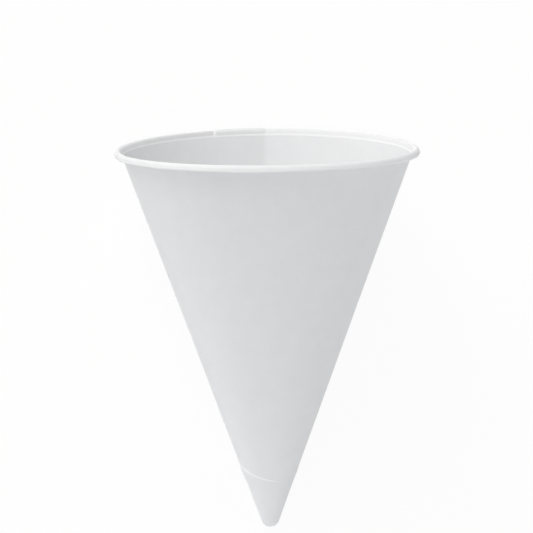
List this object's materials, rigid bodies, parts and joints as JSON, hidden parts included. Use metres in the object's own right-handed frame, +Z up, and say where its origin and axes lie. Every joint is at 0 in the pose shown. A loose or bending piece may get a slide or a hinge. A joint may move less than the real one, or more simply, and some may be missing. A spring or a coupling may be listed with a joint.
{
  "type": "cone paper cup",
  "caption": "Cone-shaped paper drinking cup wound from one white sheet, lapped and glued along its side, with a closed tip and a rim rolled outwards; lies on its side when put down.",
  "frame": {"origin": "middle of the cup's box at the surface that it lies on", "axes": "+Z up from that surface, +Y along it from the tip to the mouth, +X across; the cup's own axis rises 20.7 degrees from +Y towards +Z"},
  "size_m": [0.073, 0.0998, 0.0684],
  "materials": {
    "paper": "matte uncoated white paper"
  },
  "bodies": {
    "root": {"cone_cup": "paper"}
  },
  "joints": []
}
